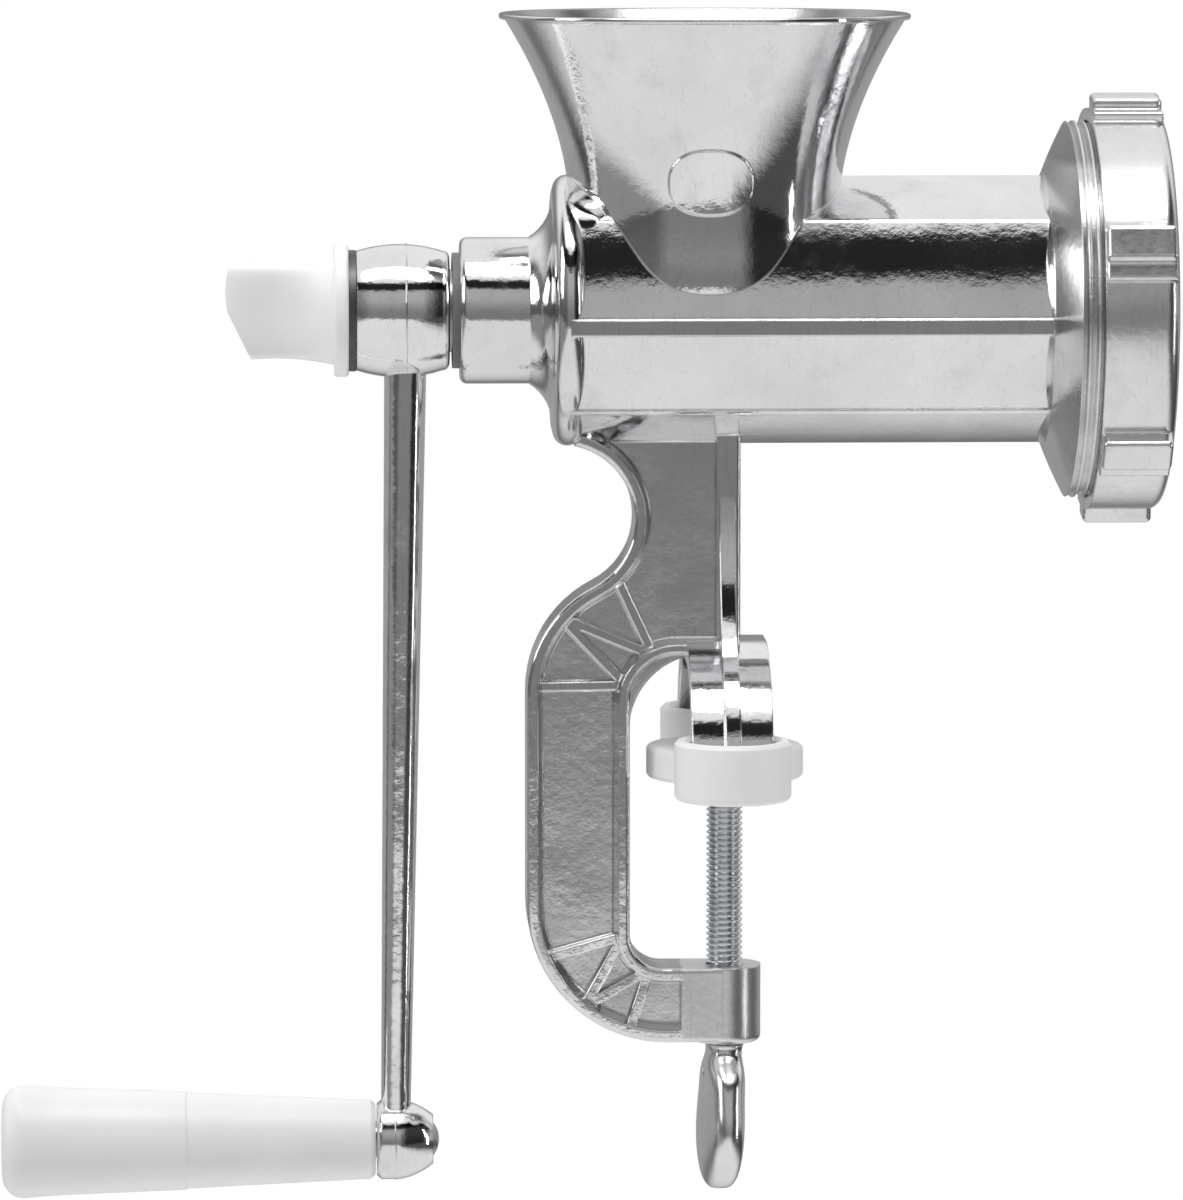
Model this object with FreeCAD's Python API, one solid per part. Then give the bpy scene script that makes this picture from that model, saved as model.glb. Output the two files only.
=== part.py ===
import FreeCAD, Part
import math
import os

from FreeCAD import Placement, Rotation, Vector

# Hand crank meat grinder that clamps to a table edge. Millimetres, +Z up.
# The origin is on the clamp screw's axis, in the plane of the table top under the foot caps.
# +X runs along the barrel from the crank to the outlet. The casting is alike on its -Y and +Y sides.

# Fits, all radial or per side
running_clearance = 0.08    # a shaft that turns in its bore
seat_clearance = 0.03       # pieces that are pressed or screwed tight
thread_clearance = 0.10     # a plain bore that stands for an internal thread
plate_clearance = 0.15      # the cutting plate in the mouth
auger_clearance = 0.5       # the auger's flight in the barrel
face_gap = 0.1              # flat faces that turn past each other
overrun = 1.0               # how far a cutting shape runs past the face it opens
thread_crest_share = 0.2    # a ridge's flat crest, as a share of the pitch

# Barrel
axis_height = 103.5
barrel_sides = 8
barrel_corner_radius = 29.2
barrel_side_crown = 0.7
barrel_edge_round = 1.2
parting_half_y = 29.6
parting_top_drop = 0.2
parting_height = 3.6
corner_ridge_radius = 29.6
corner_ridge_width = 1.4
barrel_rear_x = -34.5
bore_radius = 24.5
rear_wall_inner_x = -31.5

# Rear bead and neck
bead_radius = 29.5
bead_width = 6.0
bead_rear_x = -37.6
bead_rise = 2.2
bead_groove_width = 0.4
bead_groove_depth = 1.6
cone_sag_along = 0.68
cone_sag_rise = 0.33
neck_radius = 15.95
neck_root_x = -43.0
neck_rear_x = -58.0
neck_round = 1.6

# Flare and threaded mouth
flare_length = 5.4
flare_root_length = 1.5
flare_root_drop = 2.0
flare_edge_length = 0.4
flare_edge_share = 0.05
flare_dome_along = 0.50
flare_dome_rise = 0.54
flare_rim_drop = 0.1
mouth_thread_radius = 41.1
mouth_thread_depth = 1.1
mouth_thread_pitch = 2.0
mouth_thread_length = 15.8
mouth_thread_lead = 0.5
mouth_face_x = 90.0

# Hopper
hopper_x = -4.7
hopper_rim_rise = 64.5
hopper_flare_rise = 21.5
hopper_flare_lead = 4.0
hopper_foot_rise = 3.0
hopper_throat_half_x = 29.3
hopper_throat_half_y = 27.3
hopper_rim_half_x = 44.2
hopper_rim_half_y = 42.7
hopper_flare_power = 1.85
hopper_throat_squareness = 2.2
hopper_rim_squareness = 2.4
hopper_wall = 2.9
hopper_lip = 0.4
hopper_lip_height = 1.2
hopper_levels = 6
cheek_radius = 10.5
cheek_x = -31.0
cheek_y = 11.5
cheek_rise = 16.0
cheek_rear_x = -36.6
badge_half_width = 9.0
badge_half_height = 7.0
badge_squareness = 2.4
badge_height = 29.0
badge_rise = 0.5

# Clamp frame, a flat C with a raised rim round recessed panels
frame_half_thickness = 8.0
frame_web_half_thickness = 2.6
frame_edge_round = 0.9
frame_rim_width = 2.5
frame_rim_draft = 1.1
frame_right_x = 3.0
spine_left_x = -43.6
spine_right_x = -21.1
throat_top_z = 28.4
throat_floor_z = -40.5
throat_upper_round = 10.3
throat_lower_round = 7.3
throat_gusset_round = 17.0
shoulder_radius = 27.2
shoulder_drop = 83.9
bay_radius = 16.4
bay_drop = 45.2
bay_end_angle = 78.5
heel_radius = 30.8
frame_bottom_z = -56.8
post_left_x = -2.2
boss_radius = 8.0
boss_bottom_z = -57.5
boss_round = 1.5
panel_end_x = -9.8
brace_width = 2.1
brace_rise = 2.6
upper_brace_outer_angles = (106.0, 139.0, 176.0)
upper_brace_inner_angles = (117.0, 162.0)
lower_brace_outer_angles = (205.0, 232.0, 254.0)
lower_brace_inner_angles = (183.0, 250.0)

# Arched legs and their foot caps
leg_y = 31.75
leg_width = 17.5
leg_thickness = 4.5
leg_top_z = 31.5
leg_bend_radius = 29.0
leg_rib_width = 3.4
leg_rib_rise = 2.5
leg_rib_top_drop = 29.5
leg_rib_waist_z = 47.0
leg_rib_waist_y = 11.5
leg_rib_bend_angle = 60.0
cap_radius = 12.6
cap_height = 13.0
cap_floor = 2.0
cap_pocket_radius = 9.7
cap_edge_round = 1.5
cap_chamfer = 0.8

# Ring nut
ring_length = 16.1
ring_lip = 3.5
ring_wall = 2.6
ring_front_round = 3.0
ring_plate_overlap = 4.0
ring_opening_chamfer = 1.5
ring_lug_count = 6
ring_lug_rise = 3.6
ring_lug_width = 8.0
ring_lug_first_angle = 21.3
ring_lug_rear_inset = 0.2
ring_lug_front_inset = 0.8
ring_lug_round = 1.2
ring_lug_root = 2.5
ring_ledge_width = 3.6
ring_ledge_rise = 1.3

# Auger, knife and plate
shaft_radius = 9.0
shaft_square = 12.4
shaft_end_inset = 1.0
auger_core_radius = 10.0
auger_shoulder_radius = 15.5
auger_shoulder_length = 3.0
auger_pitch = 27.0
auger_turns = 3.55
auger_flight_root = 6.0
auger_flight_tip = 3.6
auger_flight_sink = 1.0
thrust_washer_thickness = 1.2
thrust_washer_radius = 16.5
bush_radius = 11.6
bush_flange_radius = 12.6
bush_flange_thickness = 1.6
knife_stud_square = 9.0
knife_stud_depth = 14.0
pilot_radius = 4.0
pilot_beyond_plate = 0.8
knife_radius = 31.5
knife_thickness = 8.2
knife_hub_radius = 12.0
knife_blade_root = 12.0
knife_blade_tip = 9.0
knife_bevel = 3.5
knife_room = 1.0
plate_radius = 35.0
plate_thickness = 7.0
plate_proud = 1.2
plate_hole_radius = 2.5
plate_row_radii = (10.0, 16.5, 22.5, 28.0)
plate_row_counts = (8, 14, 20, 25)
key_radius = 1.75
key_reach = 2.4
key_depth = 3.6

# Crank
crank_hub_left_x = -80.5
crank_hub_right_x = -60.2
crank_hub_radius = 14.5
crank_hub_end_radius = 13.0
crank_hub_round = 1.4
crank_length = 182.7
crank_arm_top_x = -69.6
crank_arm_foot_x = -72.4
crank_arm_top_half_x = 4.7
crank_arm_top_half_y = 6.6
crank_arm_foot_half_x = 3.2
crank_arm_foot_half_y = 5.0
crank_arm_squareness = 2.6
crank_boss_left_x = -76.5
crank_boss_right_x = -64.1
crank_boss_radius = 8.8
crank_boss_left_radius = 7.9
crank_boss_right_radius = 5.4
crank_boss_straight = 5.0
crank_boss_chamfer = 1.0
crank_boss_waist_along = 0.55
crank_boss_waist_rise = 0.62

# Grip and its axle
grip_outer_x = -158.7
grip_end_gap = 0.3
grip_end_radius = 12.4
grip_step_radius = 10.8
grip_inner_radius = 8.7
grip_step_x = -118.5
grip_step_drop = 0.25
grip_end_round = 4.6
grip_flare_length = 11.0
grip_waist_radius = 11.9
grip_chamfer = 1.0
grip_recess_radius = 7.6
grip_recess_depth = 7.0
axle_radius = 4.0
axle_head_radius = 6.4
axle_head_thickness = 2.0
axle_head_chamfer = 0.6
axle_rivet_radius = 3.65
axle_rivet_rise = 1.3
grip_washer_radius = 7.0
grip_washer_thickness = 1.0

# Thumb knob, its stud and washer
thumb_washer_radius = 13.2
thumb_washer_thickness = 1.6
knob_flange_radius = 14.4
knob_flange_thickness = 3.2
knob_flange_round = 0.8
knob_tip_x = -108.7
knob_half_height = 10.4
knob_neck_radius = 11.8
knob_sections = (           # share of the way to the tip, half height, half thickness, squareness
    (-0.02, knob_neck_radius, knob_neck_radius, 2.0),
    (0.12, 11.2, 7.8, 2.4),
    (0.41, knob_half_height, 4.1, 3.4),
    (0.70, knob_half_height, 3.6, 4.0),
    (1.04, knob_half_height, 3.2, 4.0),
)
knob_end_drop = 5.4
knob_end_bulge = 0.8
knob_end_hollow = 0.3
knob_end_peak = 0.2
thumb_stud_radius = 4.0
thumb_stud_reach = 13.0
thumb_stud_chamfer = 1.0
thumb_hole_spare = 2.0
thumb_stud_in_knob = 11.0

# Clamp screw, finger plate and swivel pad
screw_radius = 3.95
screw_thread_depth = 0.68
screw_pitch = 1.25
screw_thread_bottom_z = -56.5
screw_thread_top_z = -1.0
screw_collar = 1.2
spigot_radius = 3.0
spigot_head_radius = 4.6
spigot_head_thickness = 1.2
spigot_head_chamfer = 0.8
pad_radius = 17.2
pad_bottom_z = 1.0
pad_thickness = 7.2
pad_recess_radius = 6.5
pad_recess_depth = 2.6
pad_edge_round = 1.2
wing_top_z = -58.0
wing_bottom_z = -90.2
wing_half_width = 15.0
wing_top_half_width = 6.0
wing_half_thickness = 4.45
wing_top_half_thickness = 4.1
wing_widest_share = 0.6
wing_closing_share = 0.97
wing_squareness = 2.6
wing_levels = 9
wing_turn = 6.0
wing_lean = 2.4
wing_socket_depth = 12.0
wing_pin_radius = 1.25
wing_pin_drop = 7.0
wing_pin_inset = 0.1

oval_points = 40

# Places and sizes worked out from those above
hopper_rim_z = axis_height + hopper_rim_rise
hopper_flare_z = axis_height + hopper_flare_rise
hopper_foot_z = axis_height + hopper_foot_rise
badge_z = axis_height + badge_height
bay_z = axis_height - bay_drop
shoulder_z = axis_height - shoulder_drop
leg_rib_top_z = axis_height - leg_rib_top_drop
mouth_thread_start_x = mouth_face_x - mouth_thread_length
barrel_front_x = mouth_thread_start_x - flare_length
plate_front_x = mouth_face_x + plate_proud
auger_front_x = plate_front_x - plate_thickness - knife_thickness
ring_front_x = plate_front_x + ring_lip
ring_rear_x = ring_front_x - ring_length
ring_radius = mouth_thread_radius + thread_clearance + ring_wall
ring_lug_radius = ring_radius + ring_lug_rise
ring_opening_radius = plate_radius - ring_plate_overlap


def on_circle(centre, radius, degrees):
    angle = math.radians(degrees)
    return centre[0] + radius * math.cos(angle), centre[1] + radius * math.sin(angle)


def closed_wire(place, start, *steps):
    """A wire from start through steps: a point is a line's end, a pair of points an arc's middle and end."""
    edges = []
    here = start
    for step in steps:
        if isinstance(step[0], tuple):
            middle, end = step
            edges.append(Part.Arc(place(here), place(middle), place(end)).toShape())
        else:
            end = step
            edges.append(Part.LineSegment(place(here), place(end)).toShape())
        here = end
    if place(here).distanceToPoint(place(start)) > 1e-6:
        edges.append(Part.LineSegment(place(here), place(start)).toShape())
    return Part.Wire(edges)


def side_face(start, *steps):
    """A face in the plane y = 0, from points (x, z)."""
    return Part.Face(closed_wire(lambda p: Vector(p[0], 0, p[1]), start, *steps))


def side_slab(face, half_thickness):
    """A face in the plane y = 0 thickened by the same amount to both sides."""
    slab = face.copy()
    slab.translate(Vector(0, -half_thickness, 0))
    return slab.extrude(Vector(0, 2 * half_thickness, 0))


def turned_x(centre_z, start, *steps):
    """A solid turned about a line along X at the height centre_z, from points (x, radius)."""
    face = Part.Face(closed_wire(lambda p: Vector(p[0], 0, centre_z + p[1]), start, *steps))
    return face.revolve(Vector(0, 0, centre_z), Vector(1, 0, 0), 360)


def turned_z(centre_y, start, *steps):
    """A solid turned about a vertical line through (0, centre_y), from points (radius, z)."""
    face = Part.Face(closed_wire(lambda p: Vector(p[0], centre_y, p[1]), start, *steps))
    return face.revolve(Vector(0, centre_y, 0), Vector(0, 0, 1), 360)


def rod_x(radius, x_low, x_high, centre_z):
    return Part.makeCylinder(radius, x_high - x_low, Vector(x_low, 0, centre_z), Vector(1, 0, 0))


def rod_z(radius, z_low, z_high, y=0.0):
    return Part.makeCylinder(radius, z_high - z_low, Vector(0, y, z_low), Vector(0, 0, 1))


def block(low, high):
    size = [b - a for a, b in zip(low, high)]
    return Part.makeBox(size[0], size[1], size[2], Vector(*low))


def square_rod_x(side, x_low, x_high):
    half = side / 2
    return block((x_low, -half, axis_height - half), (x_high, half, axis_height + half))


def about_axis(shape, degrees):
    """The shape turned about the barrel's axis."""
    turned = shape.copy()
    turned.rotate(Vector(0, 0, axis_height), Vector(1, 0, 0), degrees)
    return turned


def mirrored_y(shape):
    return shape.mirror(Vector(0, 0, 0), Vector(0, 1, 0))


def oval_wire(place, half_a, half_b, squareness):
    """A closed smooth oval: squareness 2 is an ellipse, more is nearer to a rectangle."""
    points = []
    for index in range(oval_points):
        angle = 2 * math.pi * index / oval_points
        cosine, sine = math.cos(angle), math.sin(angle)
        reach = (abs(cosine / half_a) ** squareness + abs(sine / half_b) ** squareness) ** (-1 / squareness)
        points.append(place(reach * cosine, reach * sine))
    curve = Part.BSplineCurve()
    curve.interpolate(Points=points, PeriodicFlag=True)
    return Part.Wire([curve.toShape()])


def rounded(shape, radius, chosen):
    """The shape with a fillet on every edge that the test chosen picks."""
    return shape.makeFillet(radius, [edge for edge in shape.Edges if chosen(edge)])


def thread_steps(start, end, radius, depth, pitch):
    """Outline points (along, radius) of ridges of one pitch each, between start and end."""
    steps = []
    ridges = int((end - start) / pitch)
    flank = (1 - thread_crest_share) / 2 * pitch
    for ridge in range(ridges):
        along = start + ridge * pitch
        steps += [(along, radius - depth), (along + flank, radius), (along + pitch - flank, radius)]
    steps.append((start + ridges * pitch, radius - depth))
    return steps


# Casting


def barrel_shell():
    """An eight-sided prism with a corner at the top; each side is slightly crowned."""
    centre = (0, axis_height)
    turn = 360 / barrel_sides
    crown_radius = barrel_corner_radius * math.cos(math.radians(turn / 2)) + barrel_side_crown
    sides = [
        (on_circle(centre, crown_radius, 90 + turn * (side - 0.5)),
         on_circle(centre, barrel_corner_radius, 90 + turn * side))
        for side in range(1, barrel_sides + 1)
    ]
    first_corner = on_circle(centre, barrel_corner_radius, 90)
    face = Part.Face(closed_wire(lambda p: Vector(barrel_rear_x, p[0], p[1]), first_corner, *sides))
    length = barrel_front_x + barrel_edge_round - barrel_rear_x
    prism = face.extrude(Vector(length, 0, 0))
    return rounded(prism, barrel_edge_round, lambda edge: abs(edge.Length - length) < 1e-6)


def parting_strip():
    """The flat land that the mould's parting line leaves along both sides of the barrel."""
    top_z = axis_height - parting_top_drop
    return block(
        (barrel_rear_x, -parting_half_y, top_z - parting_height), (barrel_front_x, parting_half_y, top_z)
    )


def corner_ridge():
    """A low ridge along the barrel's lower corner on the -Y side."""
    half = corner_ridge_width / 2
    ridge = block(
        (barrel_rear_x, -corner_ridge_radius, axis_height - half),
        (barrel_front_x, -bore_radius, axis_height + half),
    )
    return about_axis(ridge, 360 / barrel_sides)


def barrel_mouth():
    """The domed flare at the barrel's front end and the threaded rim that the ring nut screws on to."""
    root = (barrel_front_x - flare_root_length, barrel_corner_radius - flare_root_drop)
    edge_rise = flare_edge_share * (mouth_thread_radius - barrel_corner_radius)
    edge = (barrel_front_x + flare_edge_length, barrel_corner_radius + edge_rise)
    rim = (mouth_thread_start_x, mouth_thread_radius - flare_rim_drop)
    dome = (edge[0] + flare_dome_along * (rim[0] - edge[0]), edge[1] + flare_dome_rise * (rim[1] - edge[1]))
    thread_x = mouth_thread_start_x + mouth_thread_lead
    ridges = thread_steps(thread_x, mouth_face_x, mouth_thread_radius, mouth_thread_depth, mouth_thread_pitch)
    return turned_x(
        axis_height,
        (root[0], 0),
        root,
        edge,
        (dome, rim),
        *ridges,
        (mouth_face_x, mouth_thread_radius - mouth_thread_depth),
        (mouth_face_x, 0),
    )


def rear_end():
    bead_front_x = bead_rear_x + bead_width
    bead_middle = ((bead_rear_x + bead_front_x) / 2, bead_radius)
    wall_radius = bead_radius - bead_rise
    cone_end = (bead_rear_x - bead_groove_width, wall_radius - bead_groove_depth)
    cone_sag = (
        neck_root_x + cone_sag_along * (cone_end[0] - neck_root_x),
        neck_radius + cone_sag_rise * (cone_end[1] - neck_radius),
    )
    return turned_x(
        axis_height,
        (neck_rear_x, 0),
        (neck_rear_x, neck_radius - neck_round),
        (
            on_circle((neck_rear_x + neck_round, neck_radius - neck_round), neck_round, 135),
            (neck_rear_x + neck_round, neck_radius),
        ),
        (neck_root_x, neck_radius),
        (cone_sag, cone_end),
        (bead_rear_x, wall_radius),
        (bead_middle, (bead_front_x, wall_radius)),
        (bead_front_x, 0),
    )


def hopper_oval(z, inset):
    climb = max(0.0, (z - hopper_flare_z) / (hopper_rim_z - hopper_flare_z))
    rise = climb ** hopper_flare_power
    half_x = hopper_throat_half_x + (hopper_rim_half_x - hopper_throat_half_x) * rise - inset
    half_y = hopper_throat_half_y + (hopper_rim_half_y - hopper_throat_half_y) * rise - inset
    squareness = hopper_throat_squareness + (hopper_rim_squareness - hopper_throat_squareness) * climb
    return oval_wire(lambda a, b: Vector(hopper_x + a, b, z), half_x, half_y, squareness)


def hopper_loft(inset, bottom_z, top_z):
    first = hopper_flare_z - hopper_flare_lead
    heights = [first + (top_z - first) * level / hopper_levels for level in range(hopper_levels + 1)]
    return Part.makeLoft([hopper_oval(z, inset) for z in [bottom_z] + heights], True, False)


def hopper_shell():
    lip_face = Part.Face(hopper_oval(hopper_rim_z, -hopper_lip))
    lip = lip_face.extrude(Vector(0, 0, -hopper_lip_height))
    lip = rounded(lip, hopper_lip, lambda edge: True)
    return hopper_loft(0, hopper_foot_z, hopper_rim_z - hopper_lip_height / 2).fuse(lip)


def hopper_inside():
    funnel = hopper_loft(hopper_wall, hopper_foot_z - overrun, hopper_rim_z)
    mouth = Part.Face(hopper_oval(hopper_rim_z, hopper_wall)).extrude(Vector(0, 0, overrun))
    return funnel.fuse(mouth)


def blank_badge():
    """A bare raised oval on the hopper's -Y and +Y sides."""
    place = lambda a, b: Vector(hopper_x + a, 0, badge_z + b)
    oval = Part.Face(oval_wire(place, badge_half_width, badge_half_height, badge_squareness))
    grown_hopper = hopper_loft(-badge_rise, hopper_foot_z, hopper_rim_z - hopper_lip_height)
    return side_slab(oval, hopper_rim_half_y).common(grown_hopper)


def hopper_cheek():
    """The swelling that fills the corner between the hopper and the rear bead, on the +Y side."""
    ball = Part.makeSphere(cheek_radius, Vector(cheek_x, cheek_y, axis_height + cheek_rise))
    low, high = ball.BoundBox.YMin, ball.BoundBox.YMax
    behind = block((cheek_x - 2 * cheek_radius, low, axis_height), (cheek_rear_x, high, hopper_rim_z))
    return ball.cut(behind)


def shoulder_centre():
    return spine_left_x + shoulder_radius, shoulder_z


def bay_centre():
    """The bay under the rear of the barrel is an arc tangent to the shoulder."""
    x, z = shoulder_centre()
    return x - math.sqrt((shoulder_radius + bay_radius) ** 2 - (bay_z - z) ** 2), bay_z


def heel_centre():
    return spine_left_x + heel_radius, frame_bottom_z + heel_radius


def throat_upper_centre():
    return spine_right_x + throat_upper_round, throat_top_z - throat_upper_round


def throat_lower_centre():
    return spine_right_x + throat_lower_round, throat_floor_z + throat_lower_round


def frame_outline(inset):
    """The C frame's outline as (start, steps), drawn inwards by inset all round."""
    shoulder, bay, heel = shoulder_centre(), bay_centre(), heel_centre()
    upper, lower = throat_upper_centre(), throat_lower_centre()
    top_z = axis_height - bore_radius
    meet = math.degrees(math.atan2(bay[1] - shoulder[1], bay[0] - shoulder[0]))
    bay_r, shoulder_r, heel_r = bay_radius + inset, shoulder_radius - inset, heel_radius - inset
    upper_r, lower_r = throat_upper_round + inset, throat_lower_round + inset
    right, bottom = frame_right_x - inset, frame_bottom_z + inset
    floor, ceiling = throat_floor_z - inset, throat_top_z + inset
    start = (on_circle(bay, bay_r, bay_end_angle)[0], top_z)
    steps = (
        (right, top_z),
        (right, ceiling),
        (upper[0], ceiling),
        (on_circle(upper, upper_r, 135), on_circle(upper, upper_r, 180)),
        on_circle(lower, lower_r, 180),
        (on_circle(lower, lower_r, 225), on_circle(lower, lower_r, 270)),
        (0.0, floor),
        (0.0, bottom),
        (heel[0], bottom),
        (on_circle(heel, heel_r, 225), on_circle(heel, heel_r, 180)),
        on_circle(shoulder, shoulder_r, 180),
        (on_circle(shoulder, shoulder_r, (180 + meet) / 2), on_circle(shoulder, shoulder_r, meet)),
        (on_circle(bay, bay_r, 0), on_circle(bay, bay_r, bay_end_angle)),
    )
    return start, steps


def frame_panel(inset, y):
    """The wire of the recessed panel at the depth y."""
    start, steps = frame_outline(inset)
    return closed_wire(lambda p: Vector(p[0], y, p[1]), start, *steps)


def frame_recess():
    """The recess on the -Y side, with drafted walls, stopped at the post and beside the screw's boss."""
    top = frame_panel(frame_rim_width, -frame_half_thickness)
    floor = frame_panel(frame_rim_width + frame_rim_draft, -frame_web_half_thickness)
    recess = Part.makeLoft([top, floor], True, True)
    deep = 2 * frame_half_thickness
    post = block((post_left_x, -deep, throat_top_z), (frame_right_x, deep, axis_height))
    beside_boss = block(
        (panel_end_x, -deep, 2 * frame_bottom_z),
        (boss_radius, deep, throat_floor_z + throat_lower_round),
    )
    return recess.cut(post).cut(beside_boss)


def brace(start, end, half_depth):
    """A straight rib from start to end, standing out of both sides of the web."""
    across, up = end[0] - start[0], end[1] - start[1]
    bar = block((0, -half_depth, -brace_width / 2), (math.hypot(across, up), half_depth, brace_width / 2))
    bar.rotate(Vector(0, 0, 0), Vector(0, 1, 0), -math.degrees(math.atan2(up, across)))
    bar.translate(Vector(start[0], 0, start[1]))
    return bar


def zigzag(outer_centre, outer_radius, outer_angles, inner_centre, inner_radius, inner_angles):
    """Points that go to and fro between the outer rim and the throat's rim."""
    outer = [on_circle(outer_centre, outer_radius, angle) for angle in outer_angles]
    inner = [on_circle(inner_centre, inner_radius, angle) for angle in inner_angles]
    return [outer[0], inner[0], outer[1], inner[1], outer[2]]


def frame_braces():
    half_depth = frame_web_half_thickness + brace_rise
    into_rim = frame_rim_width / 2
    upper = zigzag(
        shoulder_centre(), shoulder_radius - into_rim, upper_brace_outer_angles,
        throat_upper_centre(), throat_upper_round + into_rim, upper_brace_inner_angles,
    )
    lower = zigzag(
        heel_centre(), heel_radius - into_rim, lower_brace_outer_angles,
        throat_lower_centre(), throat_lower_round + into_rim, lower_brace_inner_angles,
    )
    return [brace(a, b, half_depth) for route in (upper, lower) for a, b in zip(route, route[1:])]


def throat_gusset():
    """The thin web that rounds the throat's upper corner more fully at mid thickness."""
    corner = (spine_right_x, throat_top_z)
    centre = (corner[0] + throat_gusset_round, corner[1] - throat_gusset_round)
    face = side_face(
        (corner[0] - frame_rim_width, centre[1]),
        (corner[0], centre[1]),
        (on_circle(centre, throat_gusset_round, 135), (centre[0], corner[1])),
        (centre[0], corner[1] + frame_rim_width),
        (corner[0] - frame_rim_width, corner[1] + frame_rim_width),
    )
    return side_slab(face, frame_web_half_thickness)


def clamp_frame():
    start, steps = frame_outline(0)
    slab = side_slab(side_face(start, *steps), frame_half_thickness)
    outside_barrel = axis_height - bore_radius - overrun
    slab = rounded(
        slab,
        frame_edge_round,
        lambda edge: edge.BoundBox.YLength < 1e-6 and edge.BoundBox.ZMin < outside_barrel,
    )
    recess = frame_recess()
    boss = turned_z(
        0,
        (0, boss_bottom_z),
        (boss_radius - boss_round, boss_bottom_z),
        (on_circle((boss_radius - boss_round, boss_bottom_z + boss_round), boss_round, -45),
         (boss_radius, boss_bottom_z + boss_round)),
        (boss_radius, throat_floor_z),
        (0, throat_floor_z),
    )
    return slab.cut([recess, mirrored_y(recess)]).multiFuse([boss, throat_gusset()] + frame_braces())


def leg_place(p):
    return Vector(-leg_width / 2, p[0], p[1])


def leg_arch():
    outer_y = leg_y + leg_thickness / 2
    inner_y = leg_y - leg_thickness / 2
    bend_y, bend_z = outer_y - leg_bend_radius, leg_top_z - leg_bend_radius
    inner_bend = leg_bend_radius - leg_thickness
    wire = closed_wire(
        leg_place,
        (outer_y, cap_floor),
        (outer_y, bend_z),
        (on_circle((bend_y, bend_z), leg_bend_radius, 45), (bend_y, leg_top_z)),
        (-bend_y, leg_top_z),
        (on_circle((-bend_y, bend_z), leg_bend_radius, 135), (-outer_y, bend_z)),
        (-outer_y, cap_floor),
        (-inner_y, cap_floor),
        (-inner_y, bend_z),
        (on_circle((-bend_y, bend_z), inner_bend, 135), (-bend_y, leg_top_z - leg_thickness)),
        (bend_y, leg_top_z - leg_thickness),
        (on_circle((bend_y, bend_z), inner_bend, 45), (inner_y, bend_z)),
        (inner_y, cap_floor),
    )
    return Part.Face(wire).extrude(Vector(leg_width, 0, 0))


def leg_rib():
    """The rib on the +Y leg: it leaves the post under the barrel and runs down the leg's outside."""
    outer_y = leg_y + leg_thickness / 2
    bend = (outer_y - leg_bend_radius, leg_top_z - leg_bend_radius)
    radius = leg_bend_radius + leg_rib_rise
    top_of_bend = on_circle(bend, radius, leg_rib_bend_angle)
    wire = closed_wire(
        lambda p: Vector(-leg_rib_width / 2, p[0], p[1]),
        (0, leg_rib_top_z),
        (frame_half_thickness, leg_rib_top_z),
        ((leg_rib_waist_y, leg_rib_waist_z), top_of_bend),
        (on_circle(bend, radius, leg_rib_bend_angle / 2), on_circle(bend, radius, 0)),
        (outer_y + leg_rib_rise, cap_floor),
        (leg_y, cap_floor),
        (leg_y, bend[1]),
        (on_circle(bend, leg_bend_radius - leg_thickness / 2, 45), (bend[0], leg_top_z - leg_thickness / 2)),
        (0, leg_top_z - leg_thickness / 2),
    )
    return Part.Face(wire).extrude(Vector(leg_rib_width, 0, 0))


def body_casting():
    rib, cheek, ridge = leg_rib(), hopper_cheek(), corner_ridge()
    outside = barrel_shell().multiFuse([
        parting_strip(), ridge, mirrored_y(ridge), barrel_mouth(), rear_end(),
        hopper_shell(), blank_badge(), cheek, mirrored_y(cheek),
        clamp_frame(), leg_arch(), rib, mirrored_y(rib),
    ])
    counterbore_x = auger_front_x - knife_room
    hollows = [
        rod_x(bore_radius, rear_wall_inner_x, mouth_face_x, axis_height),
        rod_x(plate_radius + plate_clearance, counterbore_x, mouth_face_x, axis_height),
        rod_x(bush_radius + seat_clearance, neck_rear_x, rear_wall_inner_x, axis_height),
        hopper_inside(),
        rod_z(screw_radius + thread_clearance, 2 * frame_bottom_z, throat_floor_z + overrun),
        key_pin(seat_clearance),
    ]
    return outside.cut(hollows).removeSplitter()


# Inside the barrel


def key_pin(grow):
    """The pin stands down from the top of the mouth into the plate's slot."""
    x = plate_front_x - plate_thickness / 2
    low = axis_height + plate_radius - key_reach
    high = axis_height + plate_radius + plate_clearance + key_depth
    return Part.makeCylinder(key_radius + grow, high - low, Vector(x, 0, low), Vector(0, 0, 1))


def rear_bush():
    flange_x = neck_rear_x - bush_flange_thickness
    outside = turned_x(
        axis_height,
        (flange_x, 0),
        (flange_x, bush_flange_radius),
        (neck_rear_x, bush_flange_radius),
        (neck_rear_x, bush_radius),
        (rear_wall_inner_x, bush_radius),
        (rear_wall_inner_x, 0),
    )
    return outside.cut(rod_x(shaft_radius + running_clearance, flange_x, rear_wall_inner_x, axis_height))


def thrust_washer():
    front_x = rear_wall_inner_x + thrust_washer_thickness
    disc = rod_x(thrust_washer_radius, rear_wall_inner_x, front_x, axis_height)
    return disc.cut(rod_x(shaft_radius + running_clearance, rear_wall_inner_x, front_x, axis_height))


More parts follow.
